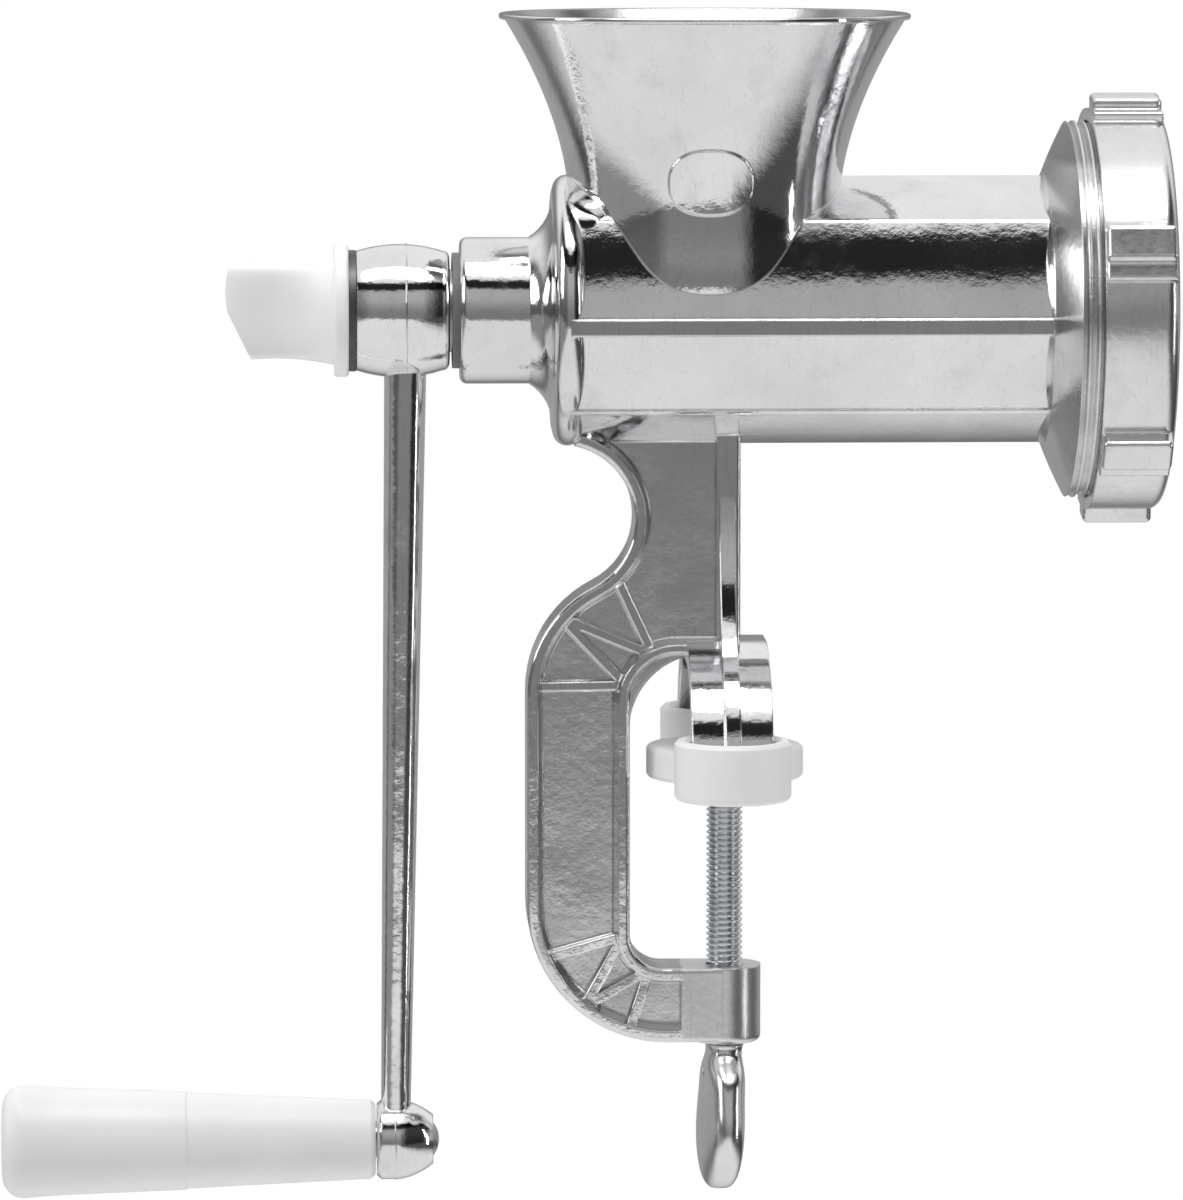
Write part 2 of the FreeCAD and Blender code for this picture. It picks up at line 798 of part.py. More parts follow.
def auger_flight(rear_x):
    """A left-hand helix, so that cranking clockwise from the crank's side pushes towards the outlet."""
    flight_radius = bore_radius - auger_clearance
    root = auger_core_radius - auger_flight_sink
    profile = Part.makePolygon([
        Vector(root, 0, -auger_flight_root / 2),
        Vector(flight_radius, 0, -auger_flight_tip / 2),
        Vector(flight_radius, 0, auger_flight_tip / 2),
        Vector(root, 0, auger_flight_root / 2),
        Vector(root, 0, -auger_flight_root / 2),
    ])
    helix = Part.makeHelix(auger_pitch, auger_pitch * auger_turns, root, 0, True)
    flight = Part.Wire(helix.Edges).makePipeShell([profile], True, True)
    flight.Placement = Placement(
        Vector(rear_x + auger_flight_root / 2, 0, axis_height), Rotation(Vector(0, 1, 0), 90)
    )
    return flight


def shaft_end_x():
    return crank_hub_left_x + shaft_end_inset


def feed_screw():
    rear_x = rear_wall_inner_x + thrust_washer_thickness + face_gap
    shoulder_front_x = rear_x + auger_shoulder_length
    square_left_x = shaft_end_x()
    outside = turned_x(
        axis_height,
        (crank_hub_right_x, 0),
        (crank_hub_right_x, shaft_radius),
        (rear_x, shaft_radius),
        (rear_x, auger_shoulder_radius),
        (shoulder_front_x, auger_shoulder_radius),
        (shoulder_front_x, auger_core_radius),
        (auger_front_x, auger_core_radius),
        (auger_front_x, 0),
    )
    crank_end = square_rod_x(shaft_square, square_left_x, crank_hub_right_x + overrun)
    trim = rod_x(bore_radius, rear_x, auger_front_x, axis_height)
    outside = outside.multiFuse([crank_end, auger_flight(rear_x).common(trim)])
    tapped_right_x = square_left_x + thumb_stud_reach + thumb_hole_spare
    holes = [
        rod_x(thumb_stud_radius + thread_clearance, square_left_x, tapped_right_x, axis_height),
        square_rod_x(knife_stud_square + 2 * seat_clearance, auger_front_x - knife_stud_depth, auger_front_x),
    ]
    return outside.cut(holes).removeSplitter()


def knife_stud():
    front_x = plate_front_x - plate_thickness - face_gap
    square = square_rod_x(knife_stud_square, auger_front_x - knife_stud_depth, front_x)
    pilot = rod_x(pilot_radius, auger_front_x, plate_front_x + pilot_beyond_plate, axis_height)
    return square.fuse(pilot).removeSplitter()


def knife_blade(rear_x, front_x):
    """One blade towards +Y: a straight cutting edge below, a bevelled back above."""
    low = -knife_blade_root / 2
    wire = closed_wire(
        lambda p: Vector(rear_x, p[0], axis_height + p[1]),
        (0, low),
        (knife_radius, low),
        (knife_radius, low + knife_blade_tip),
        (0, low + knife_blade_root),
    )
    blade = Part.Face(wire).extrude(Vector(front_x - rear_x, 0, 0))
    bevel = closed_wire(
        lambda p: Vector(p[0], knife_hub_radius, axis_height + p[1]),
        (rear_x, -low),
        (rear_x, -low - knife_blade_tip / 2),
        (rear_x + knife_bevel, -low),
    )
    return blade.cut(Part.Face(bevel).extrude(Vector(0, knife_radius, 0)))


def cross_knife():
    rear_x = auger_front_x
    front_x = rear_x + knife_thickness - face_gap
    blade = knife_blade(rear_x, front_x)
    hub = rod_x(knife_hub_radius, rear_x, front_x, axis_height)
    knife = hub.multiFuse([about_axis(blade, 90 * turn) for turn in range(4)])
    rim = rod_x(knife_radius, rear_x, front_x, axis_height)
    socket = square_rod_x(knife_stud_square + 2 * seat_clearance, rear_x, front_x)
    return knife.common(rim).cut(socket).removeSplitter()


def cutting_plate():
    rear_x = plate_front_x - plate_thickness
    disc = rod_x(plate_radius, rear_x, plate_front_x, axis_height)
    hole = rod_x(plate_hole_radius, rear_x, plate_front_x, axis_height)
    holes = [rod_x(pilot_radius + running_clearance, rear_x, plate_front_x, axis_height)]
    for row_radius, count in zip(plate_row_radii, plate_row_counts):
        moved = hole.translated(Vector(0, row_radius, 0))
        holes += [about_axis(moved, 360 * (turn + 0.5) / count) for turn in range(count)]
    slot_half = key_radius + plate_clearance
    rim_z = axis_height + plate_radius
    slot_low = rim_z - key_reach - plate_clearance
    holes.append(block((rear_x, -slot_half, slot_low), (plate_front_x, slot_half, rim_z + overrun)))
    return disc.cut(holes)


# Ring nut


def ring_lug():
    """The lug that points towards +Z: a rounded block with a low ledge beside it, towards -Y."""
    rim_z = axis_height + ring_radius
    low = rim_z - ring_lug_root
    half = ring_lug_width / 2
    rear_x, front_x = ring_rear_x + ring_lug_rear_inset, ring_front_x - ring_lug_front_inset
    lug = block((rear_x, -half, low), (front_x, half, axis_height + ring_lug_radius))
    lug = rounded(lug, ring_lug_round, lambda edge: edge.BoundBox.ZMax > rim_z)
    ledge = block((rear_x, -half - ring_ledge_width, low), (front_x, 0, rim_z + ring_ledge_rise))
    ledge = rounded(ledge, ring_ledge_rise / 2, lambda edge: edge.BoundBox.ZMin > rim_z)
    return lug.fuse(ledge)


def ring_nut():
    inner_radius = mouth_thread_radius + thread_clearance
    corner = (ring_front_x - ring_front_round, ring_radius - ring_front_round)
    body = turned_x(
        axis_height,
        (ring_rear_x, inner_radius),
        (ring_rear_x, ring_radius),
        (corner[0], ring_radius),
        (on_circle(corner, ring_front_round, 45), (ring_front_x, corner[1])),
        (ring_front_x, ring_opening_radius + ring_opening_chamfer),
        (ring_front_x - ring_opening_chamfer, ring_opening_radius),
        (plate_front_x, ring_opening_radius),
        (plate_front_x, inner_radius),
    )
    # Angles count from the -Y side upwards.
    lugs = [
        about_axis(ring_lug(), 90 - ring_lug_first_angle - 360 * turn / ring_lug_count)
        for turn in range(ring_lug_count)
    ]
    thread_room = rod_x(inner_radius, ring_rear_x, plate_front_x, axis_height)
    return body.multiFuse([lug.cut(thread_room) for lug in lugs]).removeSplitter()


# Crank


def grip_axis_z():
    return axis_height - crank_length


def crank_hub():
    middle_x = (crank_hub_left_x + crank_hub_right_x) / 2
    round_x = crank_hub_right_x - crank_hub_round
    return turned_x(
        axis_height,
        (crank_hub_left_x, 0),
        (crank_hub_left_x, crank_hub_end_radius),
        ((middle_x, crank_hub_radius), (round_x, crank_hub_end_radius)),
        (on_circle((round_x, crank_hub_end_radius - crank_hub_round), crank_hub_round, 45),
         (crank_hub_right_x, crank_hub_end_radius - crank_hub_round)),
        (crank_hub_right_x, 0),
    )


def crank_boss():
    straight_x = crank_boss_left_x + crank_boss_straight
    waist = (
        straight_x + crank_boss_waist_along * (crank_boss_right_x - straight_x),
        crank_boss_right_radius + crank_boss_waist_rise * (crank_boss_radius - crank_boss_right_radius),
    )
    return turned_x(
        grip_axis_z(),
        (crank_boss_left_x, 0),
        (crank_boss_left_x, crank_boss_left_radius),
        (crank_boss_left_x + crank_boss_chamfer, crank_boss_radius),
        (straight_x, crank_boss_radius),
        (waist, (crank_boss_right_x, crank_boss_right_radius)),
        (crank_boss_right_x, 0),
    )


def crank_arm():
    shank = Part.makeLoft([
        oval_wire(lambda a, b: Vector(crank_arm_top_x + a, b, axis_height),
                  crank_arm_top_half_x, crank_arm_top_half_y, crank_arm_squareness),
        oval_wire(lambda a, b: Vector(crank_arm_foot_x + a, b, grip_axis_z()),
                  crank_arm_foot_half_x, crank_arm_foot_half_y, crank_arm_squareness),
    ], True, True)
    holes = [
        square_rod_x(shaft_square + 2 * seat_clearance, crank_hub_left_x, crank_hub_right_x),
        rod_x(axle_radius + seat_clearance, crank_boss_left_x, crank_boss_right_x, grip_axis_z()),
    ]
    return crank_hub().multiFuse([crank_boss(), shank]).cut(holes).removeSplitter()


def grip_inner_x():
    return crank_boss_left_x - grip_end_gap


def grip():
    z = grip_axis_z()
    right_x = grip_inner_x()
    end = (grip_outer_x + grip_end_round, grip_end_radius - grip_end_round)
    outside = turned_x(
        z,
        (grip_outer_x, 0),
        (grip_outer_x, end[1]),
        (on_circle(end, grip_end_round, 135), (end[0], grip_end_radius)),
        (grip_outer_x + grip_flare_length, grip_waist_radius),
        (grip_step_x, grip_step_radius),
        (grip_step_x + grip_step_drop, grip_step_radius - grip_step_drop),
        (right_x - grip_chamfer, grip_inner_radius),
        (right_x, grip_inner_radius - grip_chamfer),
        (right_x, 0),
    )
    bore = rod_x(axle_radius + running_clearance, grip_outer_x, right_x, z)
    recess = rod_x(grip_recess_radius, grip_outer_x, grip_outer_x + grip_recess_depth, z)
    return outside.cut([bore, recess])


def axle_head_left_x():
    return grip_outer_x + grip_recess_depth - grip_washer_thickness - axle_head_thickness - 2 * face_gap


def grip_axle():
    left_x = axle_head_left_x()
    under_head_x = left_x + axle_head_thickness
    rivet_ball = (axle_rivet_radius ** 2 + axle_rivet_rise ** 2) / (2 * axle_rivet_rise)
    rivet_x = crank_boss_right_x + axle_rivet_rise
    rivet_half_angle = math.degrees(math.asin(axle_rivet_radius / rivet_ball)) / 2
    return turned_x(
        grip_axis_z(),
        (left_x, 0),
        (left_x, axle_head_radius - axle_head_chamfer),
        (left_x + axle_head_chamfer, axle_head_radius),
        (under_head_x, axle_head_radius),
        (under_head_x, axle_radius),
        (crank_boss_right_x, axle_radius),
        (crank_boss_right_x, axle_rivet_radius),
        (on_circle((rivet_x - rivet_ball, 0), rivet_ball, rivet_half_angle), (rivet_x, 0)),
    )


def grip_washer():
    left_x = axle_head_left_x() + axle_head_thickness + face_gap / 2
    right_x = left_x + grip_washer_thickness
    disc = rod_x(grip_washer_radius, left_x, right_x, grip_axis_z())
    return disc.cut(rod_x(axle_radius + running_clearance, left_x, right_x, grip_axis_z()))


# Thumb knob


def thumb_washer():
    left_x = crank_hub_left_x - thumb_washer_thickness
    disc = rod_x(thumb_washer_radius, left_x, crank_hub_left_x, axis_height)
    return disc.cut(rod_x(thumb_stud_radius + thread_clearance, left_x, crank_hub_left_x, axis_height))


def knob_right_x():
    return crank_hub_left_x - thumb_washer_thickness


def knob_oval(x, half_z, half_y, squareness):
    return oval_wire(lambda a, b: Vector(x, a, axis_height + b), half_y, half_z, squareness)


def knob_blade(flange_x):
    """The finger blade, lofted from the round flange to a flat tip that is cut off aslant below."""
    sections = [
        knob_oval(flange_x + share * (knob_tip_x - flange_x), half_z, half_y, squareness)
        for share, half_z, half_y, squareness in knob_sections
    ]
    tall = 2 * knob_neck_radius
    root_x = knob_right_x()
    upper_x = knob_tip_x + knob_end_bulge
    peak = (knob_tip_x, axis_height + knob_end_peak * knob_half_height)
    end_outline = side_face(
        (root_x, axis_height + tall),
        (upper_x, axis_height + tall),
        (upper_x, axis_height + knob_half_height),
        (peak, (knob_tip_x + knob_end_hollow, axis_height)),
        (knob_tip_x + knob_end_drop, axis_height - knob_half_height),
        (knob_tip_x + 2 * knob_end_drop, axis_height - tall),
        (root_x, axis_height - tall),
    )
    return Part.makeLoft(sections, True, False).common(side_slab(end_outline, tall))


def thumb_knob():
    right_x = knob_right_x()
    flange_x = right_x - knob_flange_thickness
    flange = rod_x(knob_flange_radius, flange_x, right_x, axis_height)
    flange = rounded(flange, knob_flange_round, lambda edge: edge.Curve.TypeId == "Part::GeomCircle")
    blade = knob_blade(flange_x)
    stud_room = rod_x(thumb_stud_radius + seat_clearance, right_x - thumb_stud_in_knob, right_x, axis_height)
    return flange.fuse(blade).cut(stud_room).removeSplitter()


def thumb_stud():
    left_x = knob_right_x() - thumb_stud_in_knob
    right_x = shaft_end_x() + thumb_stud_reach
    return turned_x(
        axis_height,
        (left_x, 0),
        (left_x, thumb_stud_radius),
        (right_x - thumb_stud_chamfer, thumb_stud_radius),
        (right_x, thumb_stud_radius - thumb_stud_chamfer),
        (right_x, 0),
    )


# Clamp


def foot_cap(side):
    """A round cup under one leg; side is -1 for the -Y leg and 1 for the +Y leg."""
    edge = cap_radius - cap_edge_round
    return turned_z(
        side * leg_y,
        (0, 0),
        (edge, 0),
        (on_circle((edge, cap_edge_round), cap_edge_round, -45), (cap_radius, cap_edge_round)),
        (cap_radius, cap_height - cap_chamfer),
        (cap_radius - cap_chamfer, cap_height),
        (cap_pocket_radius + cap_chamfer, cap_height),
        (cap_pocket_radius, cap_height - cap_chamfer),
        (cap_pocket_radius, cap_floor),
        (0, cap_floor),
    )


def clamp_screw():
    core = screw_radius - screw_thread_depth
    collar_z = pad_bottom_z - face_gap
    head_z = pad_bottom_z + pad_thickness - pad_recess_depth + face_gap
    ridges = thread_steps(
        screw_thread_bottom_z, screw_thread_top_z, screw_radius, screw_thread_depth, screw_pitch
    )
    screw = turned_z(
        0,
        (0, wing_top_z - wing_socket_depth),
        (core, wing_top_z - wing_socket_depth),
        *[(radius, z) for z, radius in ridges],
        (core, collar_z - screw_collar),
        (screw_radius, collar_z - screw_collar),
        (screw_radius, collar_z),
        (spigot_radius, collar_z),
        (spigot_radius, head_z),
        (spigot_head_radius, head_z),
        (spigot_head_radius - spigot_head_chamfer, head_z + spigot_head_thickness),
        (0, head_z + spigot_head_thickness),
    )
    return screw.cut(wing_pin_rod(seat_clearance))


def swivel_pad():
    top_z = pad_bottom_z + pad_thickness
    edge = pad_radius - pad_edge_round
    low_round_z, high_round_z = pad_bottom_z + pad_edge_round, top_z - pad_edge_round
    disc = turned_z(
        0,
        (0, pad_bottom_z),
        (edge, pad_bottom_z),
        (on_circle((edge, low_round_z), pad_edge_round, -45), (pad_radius, low_round_z)),
        (pad_radius, high_round_z),
        (on_circle((edge, high_round_z), pad_edge_round, 45), (edge, top_z)),
        (0, top_z),
    )
    hole = rod_z(spigot_radius + running_clearance, pad_bottom_z, top_z)
    recess = rod_z(pad_recess_radius, top_z - pad_recess_depth, top_z)
    return disc.cut([hole, recess])


def wing_pin_rod(grow):
    """The cross pin lies across the finger plate, through the screw's plain end."""
    half = wing_half_thickness + overrun if grow else wing_top_half_thickness - wing_pin_inset
    z = wing_top_z - wing_pin_drop
    pin = Part.makeCylinder(wing_pin_radius + grow, 2 * half, Vector(-half, 0, z), Vector(1, 0, 0))
    pin.rotate(Vector(0, 0, 0), Vector(0, 0, 1), wing_turn)
    return pin


def wing_half_widths(share):
    """The finger plate's half width and half thickness at a share of its height, counted from the top."""
    if share < wing_widest_share:
        swell = math.sin(math.pi / 2 * share / wing_widest_share)
    else:
        swell = 1.0
    half_width = wing_top_half_width + (wing_half_width - wing_top_half_width) * swell
    half_thickness = wing_top_half_thickness + (wing_half_thickness - wing_top_half_thickness) * swell
    past = max(0.0, (share - wing_widest_share) / (1 - wing_widest_share))
    closing = math.sqrt(1 - wing_closing_share * past ** 2)
    return half_width * closing, half_thickness * math.sqrt(closing)


def clamp_wing():
    height = wing_top_z - wing_bottom_z
    sections = []
    for level in range(wing_levels + 1):
        share = math.sin(math.pi / 2 * level / wing_levels)
        half_y, half_x = wing_half_widths(share)
        z = wing_top_z - height * share
        sections.append(oval_wire(lambda a, b: Vector(a, b, z), half_x, half_y, wing_squareness))
    plate = Part.makeLoft(sections, True, False)
    plate.rotate(Vector(0, 0, wing_top_z), Vector(0, 1, 0), wing_lean)
    plate = plate.common(block((-height, -height, wing_bottom_z), (height, height, wing_top_z)))
    plate.rotate(Vector(0, 0, 0), Vector(0, 0, 1), wing_turn)
    socket_radius = screw_radius - screw_thread_depth + seat_clearance
    socket = rod_z(socket_radius, wing_top_z - wing_socket_depth, wing_top_z)
    return plate.cut([socket, wing_pin_rod(seat_clearance)])


nodes = {
    "body_casting": body_casting,
    "rear_bush": rear_bush,
    "thrust_washer": thrust_washer,
    "plate_key_pin": lambda: key_pin(0),
    "near_foot_cap": lambda: foot_cap(-1),
    "far_foot_cap": lambda: foot_cap(1),
    "feed_screw": feed_screw,
    "knife_stud": knife_stud,
    "cross_knife": cross_knife,
    "cutting_plate": cutting_plate,
    "ring_nut": ring_nut,
    "crank_arm": crank_arm,
    "grip_axle": grip_axle,
    "grip_washer": grip_washer,
    "grip": grip,
    "thumb_washer": thumb_washer,
    "thumb_knob": thumb_knob,
    "thumb_stud": thumb_stud,
    "swivel_pad": swivel_pad,
    "clamp_screw": clamp_screw,
    "clamp_wing": clamp_wing,
    "wing_pin": lambda: wing_pin_rod(0),
}

os.makedirs("parts", exist_ok=True)
for name, make in nodes.items():
    shape = make()
    solids = shape.Solids
    print(name, "solids", len(solids), "valid", shape.isValid(), "volume", round(shape.Volume, 1))
    (solids[0] if len(solids) == 1 else shape).exportStep("parts/" + name + ".step")
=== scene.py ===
import math

import bpy
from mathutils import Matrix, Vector


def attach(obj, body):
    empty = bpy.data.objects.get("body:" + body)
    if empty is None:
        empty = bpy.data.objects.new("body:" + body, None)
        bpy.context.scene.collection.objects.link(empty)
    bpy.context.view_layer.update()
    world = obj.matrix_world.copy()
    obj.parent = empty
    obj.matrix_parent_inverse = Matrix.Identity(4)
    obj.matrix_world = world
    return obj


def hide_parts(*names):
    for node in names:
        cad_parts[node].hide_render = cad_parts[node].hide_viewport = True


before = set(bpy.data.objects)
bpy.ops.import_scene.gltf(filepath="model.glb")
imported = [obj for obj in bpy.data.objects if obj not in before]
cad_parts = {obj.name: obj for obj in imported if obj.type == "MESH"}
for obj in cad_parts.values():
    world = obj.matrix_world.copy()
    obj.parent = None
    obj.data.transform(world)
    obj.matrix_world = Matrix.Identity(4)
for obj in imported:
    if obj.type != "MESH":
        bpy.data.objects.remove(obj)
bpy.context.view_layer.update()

# Places on the casting and the crank, in metres, in the part's frame
axis_height = 0.1035
barrel_front_x = 0.0688
barrel_top_z = 0.1350
hopper_x = -0.0047
mouth_face_x = 0.0905
mouth_radius = 0.0430
frame_web_y = 0.0040
frame_left_x = -0.0440
frame_right_x = 0.0005
frame_top_z = 0.0790
frame_bottom_z = -0.0560
boss_left_x = -0.0095
boss_right_x = 0.0160
boss_half_y = 0.0160
boss_bottom_z = -0.0640
boss_top_z = -0.0385
crank_hub_middle_x = -0.0696
crank_hub_radius = 0.01449
crank_boss_middle_x = -0.0724
crank_boss_radius = 0.0088
crank_boss_z = -0.0792

# Parting lines of the crank
parting_width = 0.0006
parting_rise = 0.00016
parting_depth = 0.0004
parting_segments = 120

# Clamp screw
screw_radius = 0.00395
screw_thread_depth = 0.00068
screw_pitch = 0.00125
screw_bottom_z = -0.0700
screw_foot_height = 0.0006
screw_foot_share = 0.8
screw_thread_bottom_z = -0.0565
screw_thread_top_z = -0.0010
screw_collar_z = 0.0009
screw_collar_height = 0.0012
screw_collar_step = 0.0001
spigot_radius = 0.0030
spigot_head_z = 0.0057
spigot_head_radius = 0.0046
spigot_head_taper = 0.0008
spigot_top_z = 0.0069
thread_flank_gain = 1.25
thread_root_drop = 0.05
thread_steps_per_pitch = 12
screw_segments = 48
sharp_edge_angle = math.radians(35)

# Polished casting: colours, noise scales of its marks, and heights of its bumps in metres
casting_base = (0.80, 0.80, 0.81)
casting_light = (0.83, 0.83, 0.84)
casting_dark = (0.72, 0.72, 0.73)
smudge_color = (0.58, 0.585, 0.60)
smudge_share = 0.5
smudge_roughness = 0.12
scratch_color = (0.55, 0.55, 0.56)
scratch_share = 0.35
scratch_turn = (0.27, 0.9, 0.45)
scratch_scale = 420.0
scratch_stretch = 0.06
scratch_width = 0.012
stain_scale = 38.0
stain_color_band = (0.35, 0.70)
stain_roughness_band = (0.35, 0.72)
smudge_scale = 46.0
smudge_band = (0.56, 0.70)
wave_scale = 55.0
peel_scale = 620.0
grain_scale = 2600.0
wave_height = 0.00022
peel_height = 0.00003
grain_height = 0.000008
polish_smooth = 0.04
polish_rough = 0.10
edge_radius = 0.0007
edge_samples = 6
ring_and_wing_dulling = 0.14

# Zones of the casting that are left duller; the web is also darker, and the hopper's inside gets painted
# shade
zone_edge = 0.0008
flare_edge = 0.0006
web_low = (frame_left_x, -frame_web_y, frame_bottom_z)
web_high = (frame_right_x, frame_web_y, frame_top_z)
web_roughness = 0.10
web_color = (0.55, 0.55, 0.555)
web_share = 0.45
flare_low = (barrel_front_x, -mouth_radius, axis_height - mouth_radius)
flare_high = (mouth_face_x, mouth_radius, axis_height + mouth_radius)
flare_roughness = 0.18
boss_low = (boss_left_x, -boss_half_y, boss_bottom_z)
boss_high = (boss_right_x, boss_half_y, boss_top_z)
boss_roughness = 0.24
inside_facing = (-0.006, -0.001, 1.0, 0.0)
inside_fade_height = 0.002
inside_roughness = 0.22
# Painted shade: a dark grey laid over the hopper's inner faces
painted_hopper_shade_color = (0.36, 0.36, 0.365)
painted_hopper_shade_share = 0.85

# Plain metals and plastics
cloud_band = (0.30, 0.70)
metal_cloud_scale = 120.0
plastic_cloud_scale = 70.0
plastic_color_band = (0.35, 0.70)
plastic_grain_scale = 1500.0
plastic_grain_height = 0.00001
plastic_roughness_spread = 0.12
plastic_scatter_radius = (0.004, 0.004, 0.0038)
plastic_scatter_scale = 0.6

# Floor and surroundings: each band is the values it runs between, then the levels at its two ends
floor_size = 24.0
floor_front = 2.7
floor_height = -0.45
floor_color = (0.86, 0.86, 0.86)
floor_roughness = 0.9
floor_whitening = (0.7, 1.6, 0.3, 1.0)
mirrored_floor_depth = (0.10, 1.00, 0.85, 0.20)
mirrored_floor_right = (0.30, 0.90, 1.0, 0.10)
mirrored_floor_left = (-1.60, -0.90, 0.35, 1.0)
mirrored_floor_far = (0.70, 1.70, 0.0, 0.38)
front_level = (-0.05, 0.45, 0.23, 0.46)
front_top_dimming = (0.585, 0.635, 1.0, 0.04)
front_right_dimming = (0.30, 0.55, 1.0, 0.10)
front_left_dimming = (-0.60, -0.35, 0.50, 1.0)
behind_level = (0.10, 0.40, 0.0, 0.95)
behind_low_dimming = (0.05, 0.50, 0.25, 1.0)
overhead_level = (0.77, 0.805, 0.0, 0.95)
far_right_level = (0.84, 0.97, 0.0, 0.45)

# Lamps: place, width and height in metres, and watts
lamps_aim = (-0.03, 0.0, 0.04)
left_lamp = ((-1.8, -0.4, 0.85), (0.7, 0.9), 9.2)
right_lamp = ((1.75, -0.75, 0.2), (0.06, 1.5), 4.0)
top_lamp = ((-0.1, -0.55, 1.8), (1.6, 0.7), 17.5)

# The photograph's camera
camera_place = (-0.0912, -1.6000, 0.2118)
camera_aim = (-0.0292, 0.0, 0.0400)
focal_pixels = 7363.0
picture_height = 1200.0
sensor_width = 36.0


# Node helpers


def new_material(name, metallic, base_color):
    """An empty node material: returns the material, its tree and its Principled node."""
    material = bpy.data.materials.new(name)
    material.use_nodes = True
    tree = material.node_tree
    tree.nodes.clear()
    output = tree.nodes.new("ShaderNodeOutputMaterial")
    shader = tree.nodes.new("ShaderNodeBsdfPrincipled")
    shader.inputs["Metallic"].default_value = metallic
    shader.inputs["Base Color"].default_value = (*base_color, 1.0)
    tree.links.new(shader.outputs["BSDF"], output.inputs["Surface"])
    return material, tree, shader


def object_coordinates(tree):
    return tree.nodes.new("ShaderNodeTexCoord").outputs["Object"]


def mapped(tree, coordinates, scale, rotation=(0.0, 0.0, 0.0)):
    mapping = tree.nodes.new("ShaderNodeMapping")
    mapping.inputs["Rotation"].default_value = rotation
    mapping.inputs["Scale"].default_value = scale
    tree.links.new(coordinates, mapping.inputs["Vector"])
    return mapping.outputs["Vector"]


def noise(tree, coordinates, scale, detail=3.0, roughness=0.5):
    node = tree.nodes.new("ShaderNodeTexNoise")
    node.inputs["Scale"].default_value = scale
    node.inputs["Detail"].default_value = detail
    node.inputs["Roughness"].default_value = roughness
    tree.links.new(coordinates, node.inputs["Vector"])
    return node.outputs["Fac"]


def remap(tree, value, low, high, to_low=0.0, to_high=1.0, smooth=False):
    node = tree.nodes.new("ShaderNodeMapRange")
    node.interpolation_type = "SMOOTHSTEP" if smooth else "LINEAR"
    sockets = ("From Min", "From Max", "To Min", "To Max")
    for socket, number in zip(sockets, (low, high, to_low, to_high)):
        node.inputs[socket].default_value = number
    tree.links.new(value, node.inputs["Value"])
    return node.outputs["Result"]


def math_node(tree, operation, first, second=None):
    node = tree.nodes.new("ShaderNodeMath")
    node.operation = operation
    for socket, value in zip(node.inputs, (first, second)):
        if value is None:
            continue
        if isinstance(value, (int, float)):
            socket.default_value = value
        else:
            tree.links.new(value, socket)
    return node.outputs["Value"]


def separate(tree, coordinates):
    node = tree.nodes.new("ShaderNodeSeparateXYZ")
    tree.links.new(coordinates, node.inputs["Vector"])
    return node.outputs["X"], node.outputs["Y"], node.outputs["Z"]


def vector_length(tree, vector):
    node = tree.nodes.new("ShaderNodeVectorMath")
    node.operation = "LENGTH"
    tree.links.new(vector, node.inputs[0])
    return node.outputs["Value"]


def mixed_color(tree, factor, first, second):
    """A colour between first and second; each is a colour or another node's output."""
    node = tree.nodes.new("ShaderNodeMix")
    node.data_type = "RGBA"
    tree.links.new(factor, node.inputs["Factor"])
    for socket, value in zip((node.inputs[6], node.inputs[7]), (first, second)):
        if isinstance(value, tuple):
            socket.default_value = (*value, 1.0)
        else:
            tree.links.new(value, socket)
    return node.outputs[2]


def tinted(tree, color, mask, share, tint):
    """The colour, mixed with a share of the tint where the mask is 1."""
    return mixed_color(tree, math_node(tree, "MULTIPLY", mask, share), color, tint)


def rougher(tree, roughness, mask, amount):
    """The roughness, with the amount added where the mask is 1."""
    return math_node(tree, "ADD", roughness, math_node(tree, "MULTIPLY", mask, amount))


def eased_edges(tree):
    """Normals that round off the sharp edges of a casting."""
    node = tree.nodes.new("ShaderNodeBevel")
    node.samples = edge_samples
    node.inputs["Radius"].default_value = edge_radius
    return node.outputs["Normal"]


def bump(tree, height, distance, under=None):
    node = tree.nodes.new("ShaderNodeBump")
    node.inputs["Distance"].default_value = distance
    node.inputs["Strength"].default_value = 1.0
    tree.links.new(height, node.inputs["Height"])
    if under is not None:
        tree.links.new(under, node.inputs["Normal"])
    return node.outputs["Normal"]


def scratches(tree, coordinates):
    """Thin broken lines: the narrow crests of a noise that is drawn out along one direction."""
    drawn_out = (scratch_scale, scratch_scale, scratch_stretch * scratch_scale)
    field = noise(tree, mapped(tree, coordinates, drawn_out, scratch_turn), 1.0, 2.0)
    off_crest = math_node(tree, "ABSOLUTE", math_node(tree, "SUBTRACT", field, 0.5))
    return remap(tree, off_crest, 0.0, scratch_width, 1.0, 0.0)


def box_mask(tree, coordinates, lows, highs, soft):
    """1 inside a box in the part's frame, falling to 0 over the distance soft on each side of its walls."""
    mask = None
    for value, low, high in zip(separate(tree, coordinates), lows, highs):
        above = remap(tree, value, low - soft, low + soft, smooth=True)
        below = remap(tree, value, high - soft, high + soft, 1.0, 0.0, smooth=True)
        between = math_node(tree, "MULTIPLY", above, below)
        mask = between if mask is None else math_node(tree, "MULTIPLY", mask, between)
    return mask


def hopper_inside(tree, coordinates):
    """1 on the faces above the barrel that look in towards the hopper's middle line."""
    x, y, z = separate(tree, coordinates)
    facing_x, facing_y, _ = separate(tree, tree.nodes.new("ShaderNodeNewGeometry").outputs["Normal"])
    outward_x = math_node(tree, "MULTIPLY", math_node(tree, "SUBTRACT", x, hopper_x), facing_x)
    outward = math_node(tree, "ADD", outward_x, math_node(tree, "MULTIPLY", y, facing_y))
    inward = remap(tree, outward, *inside_facing, smooth=True)
    above_barrel = remap(tree, z, barrel_top_z, barrel_top_z + inside_fade_height)
    return math_node(tree, "MULTIPLY", inward, above_barrel)


# Materials


